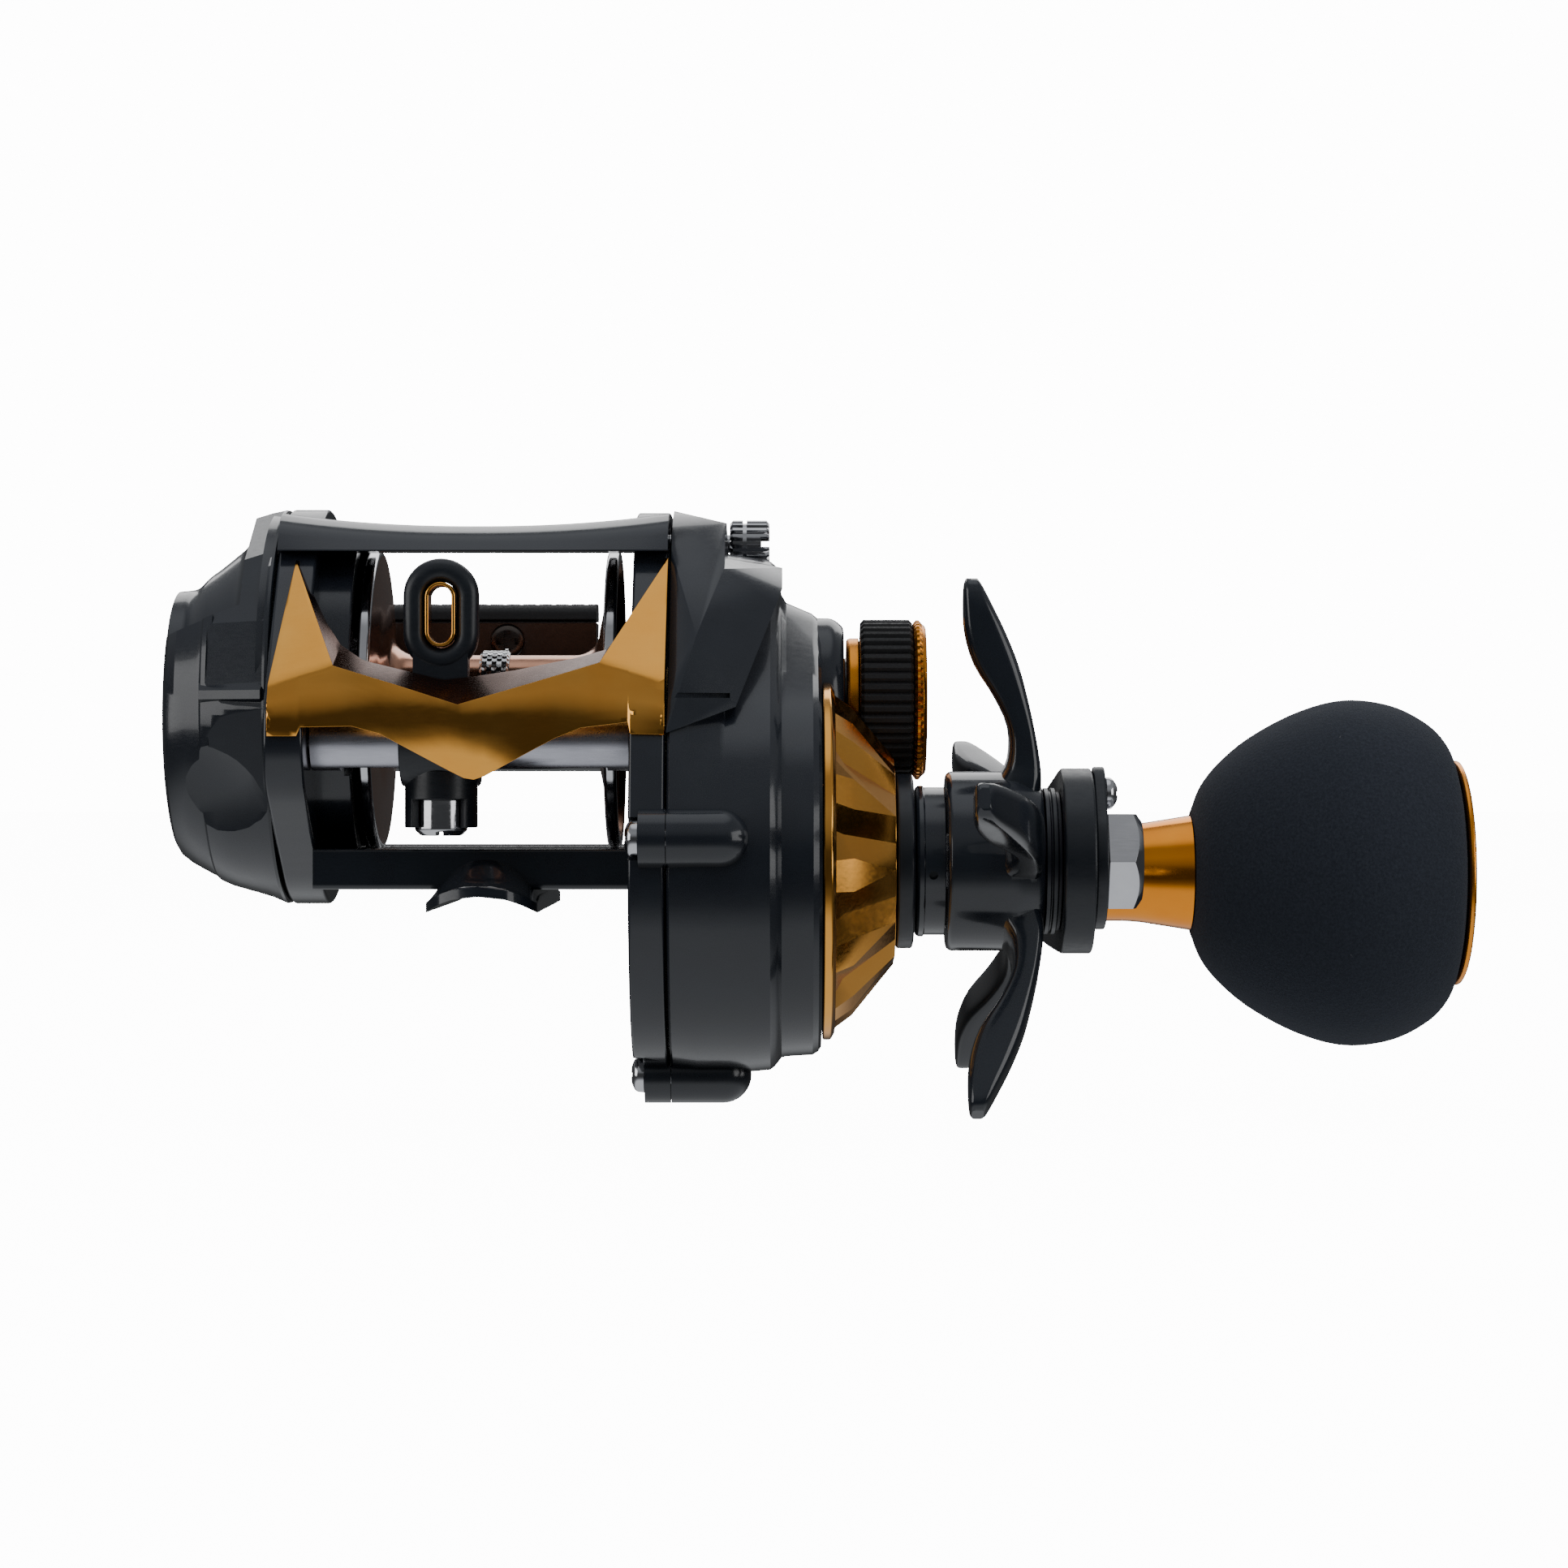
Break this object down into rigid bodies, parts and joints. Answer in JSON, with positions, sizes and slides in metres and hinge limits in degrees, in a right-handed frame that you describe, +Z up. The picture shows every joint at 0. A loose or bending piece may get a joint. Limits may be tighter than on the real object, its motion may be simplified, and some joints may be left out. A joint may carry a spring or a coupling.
{
  "type": "baitcasting fishing reel",
  "caption": "Low-profile baitcasting fishing reel with star drag, single crank handle with a round foam knob, level-wind line guide, thumb bar and magnetic cast brake.",
  "frame": {"origin": "middle of the flat strip under the foot's saddle, straight below the middle of the spool", "axes": "+X along the spool's axis towards the handle, -Y the way the line leaves, +Z up away from the rod"},
  "size_m": [0.1742, 0.1146, 0.0768],
  "materials": {
    "black_casting": "dark satin paint",
    "satin_black": "satin black",
    "gloss_black": "gloss black",
    "gold_anodised": "bright orange-gold anodising",
    "rose_anodised": "rose-gold anodising",
    "chrome_trim": "polished",
    "steel": "machined",
    "brass": "machined",
    "carbon": "woven carbon friction disc",
    "polymer": "moulded",
    "magnet": "nickel plated",
    "rubber_pad": "matte",
    "foam": "fine closed-cell foam"
  },
  "bodies": {
    "body_frame": {"frame": "black_casting", "front_cover": "gold_anodised", "worm_guard": "satin_black", "gear_side_plate": "black_casting", "side_screw_front": "chrome_trim", "side_screw_bottom": "chrome_trim", "gear_bezel": "gold_anodised", "bearing_cap": "satin_black", "one_way_bearing": "steel", "pinion_bearing": "steel", "tension_bearing": "steel", "worm_bush_palm": "polymer", "worm_bush_handle": "polymer"},
    "palm_side": {"palm_cover": "black_casting", "palm_bearing": "steel"},
    "brake_dial": {"brake_dial": "satin_black"},
    "magnet_slide": {"magnet_carrier": "polymer", "magnet_ring": "magnet"},
    "spool": {"spool": "rose_anodised", "arbor_band": "chrome_trim", "spool_shaft": "steel", "shaft_pin": "steel", "inductor_cup": "steel"},
    "yoke": {"clutch_yoke": "steel", "yoke_spring_front": "steel", "yoke_spring_rear": "steel"},
    "pinion": {"pinion_gear": "brass"},
    "clutch_bar": {"thumb_bar": "satin_black", "thumb_pad": "rubber_pad", "thumb_bar_screw": "steel", "clutch_plate": "steel"},
    "drive": {"main_shaft": "steel", "drive_gear": "brass", "drag_washer": "carbon", "pressure_washer": "steel", "ratchet_wheel": "steel", "levelwind_drive_gear": "polymer", "drag_sleeve": "satin_black", "drag_spring_washer": "steel", "handle_spacer": "satin_black", "handle_arm": "satin_black", "nut_retainer": "satin_black", "retainer_screw": "chrome_trim", "handle_nut": "chrome_trim", "knob_spindle": "steel"},
    "star": {"star_drag": "gloss_black"},
    "knob": {"knob_core": "gold_anodised", "knob_grip": "foam", "knob_cap": "gold_anodised", "knob_bearing_inner": "steel", "knob_bearing_outer": "steel"},
    "worm": {"worm_shaft": "steel", "worm_gear": "polymer"},
    "line_guide": {"line_guide": "satin_black", "guide_insert": "gold_anodised", "pawl_cap": "chrome_trim"},
    "pawl": {"pawl": "steel"},
    "tension": {"tension_knob": "gold_anodised", "tension_grip": "rubber_pad"},
    "takedown": {"takedown_screw": "chrome_trim"}
  },
  "joints": [
    {"name": "handle_spin", "type": "hinge", "parent": "body_frame", "child": "drive", "pos_m": [0.06, -0.01, 0.004], "axis": [1, 0, 0], "continuous": true},
    {"name": "spool_spin", "type": "hinge", "parent": "body_frame", "child": "spool", "pos_m": [0, 0, 0.0247], "axis": [1, 0, 0], "continuous": true},
    {"name": "worm_spin", "type": "hinge", "parent": "body_frame", "child": "worm", "pos_m": [0, -0.024, 0.0195], "axis": [1, 0, 0], "continuous": true},
    {"name": "yoke_shift", "type": "slide", "parent": "body_frame", "child": "yoke", "axis": [1, 0, 0], "range_m": [0, 0.0018]},
    {"name": "pinion_spin", "type": "hinge", "parent": "yoke", "child": "pinion", "pos_m": [0.028, 0, 0.0247], "axis": [1, 0, 0], "continuous": true},
    {"name": "clutch_press", "type": "slide", "parent": "body_frame", "child": "clutch_bar", "axis": [0, 0, -1], "range_m": [0, 0.004]},
    {"name": "line_guide_slide", "type": "slide", "parent": "body_frame", "child": "line_guide", "axis": [1, 0, 0], "range_m": [-0.007, 0.016]},
    {"name": "pawl_swivel", "type": "hinge", "parent": "line_guide", "child": "pawl", "pos_m": [-0.0051, -0.024, 0.0138], "axis": [0, 0, 1], "range_deg": [-25, 25]},
    {"name": "star_turn", "type": "hinge", "parent": "drive", "child": "star", "pos_m": [0.062, -0.01, 0.004], "axis": [1, 0, 0], "range_deg": [-270, 270]},
    {"name": "knob_spin", "type": "hinge", "parent": "drive", "child": "knob", "pos_m": [0.105, 0.045, 0.0013], "axis": [1, 0, 0], "continuous": true},
    {"name": "tension_turn", "type": "hinge", "parent": "body_frame", "child": "tension", "pos_m": [0.05, 0, 0.0247], "axis": [1, 0, 0], "range_deg": [-360, 360]},
    {"name": "takedown_turn", "type": "hinge", "parent": "body_frame", "child": "takedown", "pos_m": [0.033, 0.008, 0.0454], "axis": [1, 0, 0], "range_deg": [0, 1080]},
    {"name": "palm_twist", "type": "hinge", "parent": "body_frame", "child": "palm_side", "pos_m": [-0.03, 0, 0.0247], "axis": [-1, 0, 0], "range_deg": [0, 20]},
    {"name": "brake_dial_turn", "type": "hinge", "parent": "palm_side", "child": "brake_dial", "pos_m": [-0.04, 0, 0.0247], "axis": [-1, 0, 0], "range_deg": [0, 270]},
    {"name": "magnet_shift", "type": "slide", "parent": "palm_side", "child": "magnet_slide", "axis": [1, 0, 0], "range_m": [0, 0.0025]}
  ],
  "couplings": [
    {"joint": "spool_spin", "follows": "handle_spin", "ratio": -6},
    {"joint": "pinion_spin", "follows": "handle_spin", "ratio": -6},
    {"joint": "worm_spin", "follows": "handle_spin", "ratio": -2.3077},
    {"joint": "yoke_shift", "follows": "clutch_press", "ratio": 0.45},
    {"joint": "brake_dial_turn", "follows": "magnet_shift", "rad_per_m": 1884}
  ]
}
